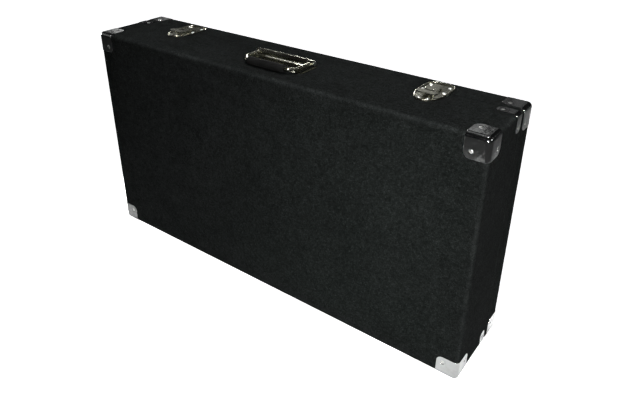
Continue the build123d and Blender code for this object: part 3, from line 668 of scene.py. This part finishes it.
# ------------------------------------------------------------------ camera
RIGHT = Vector((0.80947742, 0.58708161, 0.00902727))
DOWN = Vector((0.26999154, -0.3585278, -0.89362318))
FORWARD = Vector((-0.5213932, 0.72580507, -0.44872722))
cam_data = bpy.data.cameras.new("camera")
cam = bpy.data.objects.new("camera", cam_data)
scene.collection.objects.link(cam)
cam.matrix_world = Matrix(
    (
        (RIGHT.x, -DOWN.x, -FORWARD.x, 0.755155),
        (RIGHT.y, -DOWN.y, -FORWARD.y, -0.924138),
        (RIGHT.z, -DOWN.z, -FORWARD.z, 0.907801),
        (0, 0, 0, 1),
    )
)
cam_data.sensor_fit = "HORIZONTAL"
cam_data.sensor_width = 36.0
cam_data.lens = 609.4 / 640.0 * 36.0
cam_data.shift_y = -(200.0 - 149.39) / 640.0
cam_data.clip_end = 60.0
scene.camera = cam


# ------------------------------------------------------------------ light
def area(name, place, target, size, size_y, power, spread=180.0, colour=(1, 1, 1)):
    data = bpy.data.lights.new(name, "AREA")
    data.shape = "RECTANGLE"
    data.size, data.size_y = size, size_y
    data.energy = power
    data.color = colour
    data.spread = math.radians(spread)
    obj = bpy.data.objects.new(name, data)
    scene.collection.objects.link(obj)
    obj.location = place
    obj.rotation_euler = (Vector(target) - Vector(place)).to_track_quat("-Z", "Y").to_euler()
    return obj


def beam(name, along, across, power, spread, height=3.0):
    """A wide soft box with a grid, high above the floor, that lights a rectangle of it.

    The rectangle is laid out from a point in front of the case, along its left edge of the view and across it.
    """
    u, v = Vector((-0.876, 0.483)), Vector((0.483, 0.876))
    c = Vector((-0.17, -0.63)) + u * (along[0] + along[1]) / 2 + v * (across[0] + across[1]) / 2
    obj = area(name, (c.x, c.y, height), (c.x, c.y, 0.0), along[1] - along[0], across[1] - across[0], power, spread)
    obj.rotation_euler = (0.0, 0.0, math.atan2(u.y, u.x))
    return obj


area("flash", (1.02, -1.36, 0.64), (0.34, -0.09, 0.33), 0.26, 0.26, 5.1, 60)
area("back_key", (-1.0, 1.75, 1.15), (-0.1, 0.09, 0.30), 0.4, 0.4, 2.2, 70)
area("left_key", (-1.75, -0.35, 0.95), (-0.48, 0.0, 0.25), 0.4, 0.4, 0.25, 50)
area("right_key", (2.3, 0.1, 1.2), (0.48, 0.0, 0.28), 0.4, 0.4, 0.25, 40)
area("back_low", (-0.5, 2.3, 0.32), (-0.1, 0.09, 0.26), 0.5, 0.3, 5.0, 70)
area("left_low", (-2.2, 0.25, 0.34), (-0.48, 0.0, 0.28), 0.3, 0.3, 2.5, 50)
beam("beam_near", (-0.6, 3.7), (-0.06, 1.1), 19.6, 5)
beam("beam_far", (0.14, 3.7), (1.1, 4.2), 43.0, 7)
side = area("beam_right", (0.52, 0.68, 3.0), (0.52, 0.68, 0.0), 1.10, 0.38, 1.3, 4)
side.rotation_euler = (0.0, 0.0, math.atan2(0.983, -0.184))
for n, (x, power) in enumerate(((-6.2, 0.9), (-5.5, 0.9), (-4.6, 0.4), (-3.8, 0.45), (-3.0, 0.8), (-2.2, 0.6), (-1.4, 0.6), (-0.9, 0.5), (-0.55, 0.15), (-0.05, 0.35))):
    area(f"strip_{n}", (x, 3.6, 2.0), (0.15 * x, 0.0, 0.5), 0.2, 1.8, power, 180)
for n, (turn, power) in enumerate(((-152, 0.10), (-112, 0.05), (-72, 0.05), (-30, 0.05), (10, 0.10), (50, 0.10), (180, 0.10))):
    x, y = 4.2 * math.cos(math.radians(turn)), 4.2 * math.sin(math.radians(turn))
    area(f"soft_{n}", (x, y, 2.2), (0.1 * x, 0.1 * y, 1.0), 0.9, 2.2, power, 40)
area("soft_top", (0.0, 0.8, 3.4), (0.0, 0.0, 0.5), 2.2, 1.9, 0.6, 60)

world = bpy.data.worlds.new("studio")
scene.world = world
world.use_nodes = True
world.node_tree.nodes["Background"].inputs[0].default_value = (0.95, 0.97, 1.0, 1.0)
world.node_tree.nodes["Background"].inputs[1].default_value = 0.012
